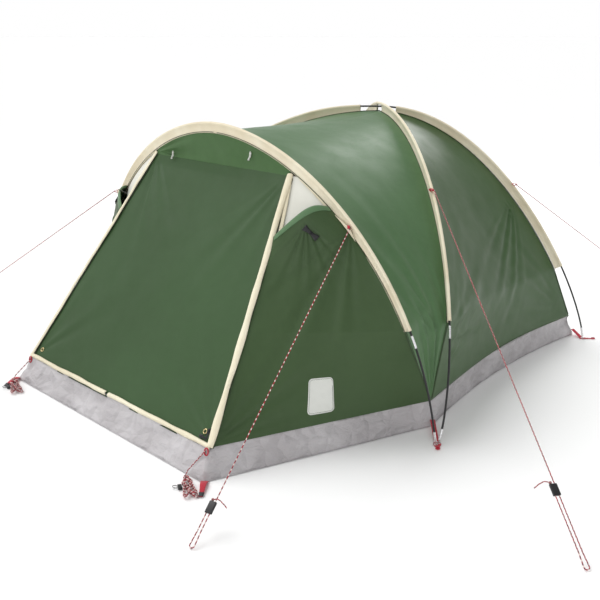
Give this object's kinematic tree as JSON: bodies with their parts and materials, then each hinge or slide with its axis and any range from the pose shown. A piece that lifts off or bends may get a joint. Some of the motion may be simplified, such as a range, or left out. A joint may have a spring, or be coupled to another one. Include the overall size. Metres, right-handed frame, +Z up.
{
  "type": "dome tent with porch",
  "caption": "Pitched dome tent on jointed poles, with a hooped porch, zipped trapezoid door, vents, groundsheet, skirt and guy lines.",
  "frame": {"origin": "centre of the pitched tent's footprint, on the ground", "axes": "+Y from the porch to the rear, +X to the tent's right seen from behind the rear wall, +Z up"},
  "size_m": [4.0084, 3.8272, 1.1928],
  "materials": {
    "fly": "coated polyester, woven, semi-matt",
    "cream": "coated polyester, woven, semi-matt",
    "skirt": "coated groundsheet cloth, creased",
    "rod": "fibreglass rod, satin black",
    "steel": "bright ferrules and tips",
    "webbing": "woven webbing",
    "cord": "braided line with flecks",
    "plastic": "moulded nylon, satin",
    "inner": "breathable lining cloth, matt"
  },
  "bodies": {
    "tent": {"pole_a_tip_1": "steel", "pole_a_tip_2": "steel", "pole_a_end_1": "rod", "pole_a_end_2": "rod", "pole_a_ferrule_1": "steel", "pole_a_ferrule_2": "steel", "pole_a_run_1": "rod", "pole_a_run_2": "rod", "pole_b_tip_1": "steel", "pole_b_tip_2": "steel", "pole_b_end_1": "rod", "pole_b_end_2": "rod", "pole_b_ferrule_1": "steel", "pole_b_ferrule_2": "steel", "pole_b_run_1": "rod", "pole_b_run_2": "rod", "hoop_tip_1": "steel", "hoop_tip_2": "steel", "hoop_end_1": "rod", "hoop_end_2": "rod", "hoop_ferrule_1": "steel", "hoop_ferrule_2": "steel", "hoop_run_1": "rod", "hoop_run_2": "rod", "sleeve_a": "cream", "sleeve_b_front": "cream", "sleeve_b_rear": "cream", "sleeve_hoop": "cream", "fly_left": "fly", "fly_right": "fly", "fly_rear": "fly", "porch_roof": "fly", "porch_front": "fly", "vent_hood_left": "fly", "vent_hood_right": "fly", "skirt": "skirt", "groundsheet": "skirt", "inner_wall": "inner", "strap_front_left": "webbing", "strap_front_right": "webbing", "strap_rear_left": "webbing", "strap_rear_right": "webbing", "guy_hoop_left": "cord", "guy_hoop_right": "cord", "guy_side_right": "cord", "guy_rear_right": "cord", "corner_cord_left": "cord", "corner_hank_left": "cord", "corner_cord_right": "cord", "corner_hank_right": "cord"},
    "door": {"front_door": "fly"},
    "zip_side": {"zip_slider_side": "plastic"},
    "zip_bottom": {"zip_slider_bottom": "plastic"},
    "strut_left": {"vent_strut_left": "plastic"},
    "strut_right": {"vent_strut_right": "plastic"},
    "inner_leaf": {"inner_door": "inner"},
    "runner_hoop_left": {"tensioner_hoop_left": "plastic"},
    "runner_hoop_right": {"tensioner_hoop_right": "plastic"},
    "runner_side_right": {"tensioner_side_right": "plastic"},
    "runner_rear_right": {"tensioner_rear_right": "plastic"}
  },
  "joints": [
    {"name": "door_lift", "type": "hinge", "parent": "tent", "child": "door", "pos_m": [0, -0.52475, 1], "axis": [-1, 0, 0], "range_deg": [0, 80]},
    {"name": "zip_side_slide", "type": "slide", "parent": "door", "child": "zip_side", "axis": [-0.1859, 0.5535, 0.8118], "range_m": [0, 0.95]},
    {"name": "zip_bottom_slide", "type": "slide", "parent": "door", "child": "zip_bottom", "axis": [-1, 0, 0], "range_m": [0, 1.15]},
    {"name": "vent_strut_right_fold", "type": "hinge", "parent": "tent", "child": "strut_right", "pos_m": [0.61946, -0.58393, 0.78995], "axis": [0.8252, 0.5649, 0], "range_deg": [0, 80]},
    {"name": "vent_strut_left_fold", "type": "hinge", "parent": "tent", "child": "strut_left", "pos_m": [-0.61946, -0.58393, 0.78995], "axis": [0.8252, -0.5649, 0], "range_deg": [0, 80]},
    {"name": "inner_door_open", "type": "hinge", "parent": "tent", "child": "inner_leaf", "pos_m": [-0.3, -0.06381, 0.26512], "axis": [0, -0.504, -0.8637], "range_deg": [0, 90]},
    {"name": "tensioner_hoop_left_slide", "type": "slide", "parent": "tent", "child": "runner_hoop_left", "axis": [-0.8413, -0.1758, -0.5112], "range_m": [0, 0.11]},
    {"name": "tensioner_hoop_right_slide", "type": "slide", "parent": "tent", "child": "runner_hoop_right", "axis": [0.1811, -0.7483, -0.6381], "range_m": [0, 0.05]},
    {"name": "tensioner_side_right_slide", "type": "slide", "parent": "tent", "child": "runner_side_right", "axis": [0.7151, -0.451, -0.5341], "range_m": [0, 0.18]},
    {"name": "tensioner_rear_right_slide", "type": "slide", "parent": "tent", "child": "runner_rear_right", "axis": [0.0771, 0.8705, -0.4861], "range_m": [0, 0.14]}
  ]
}
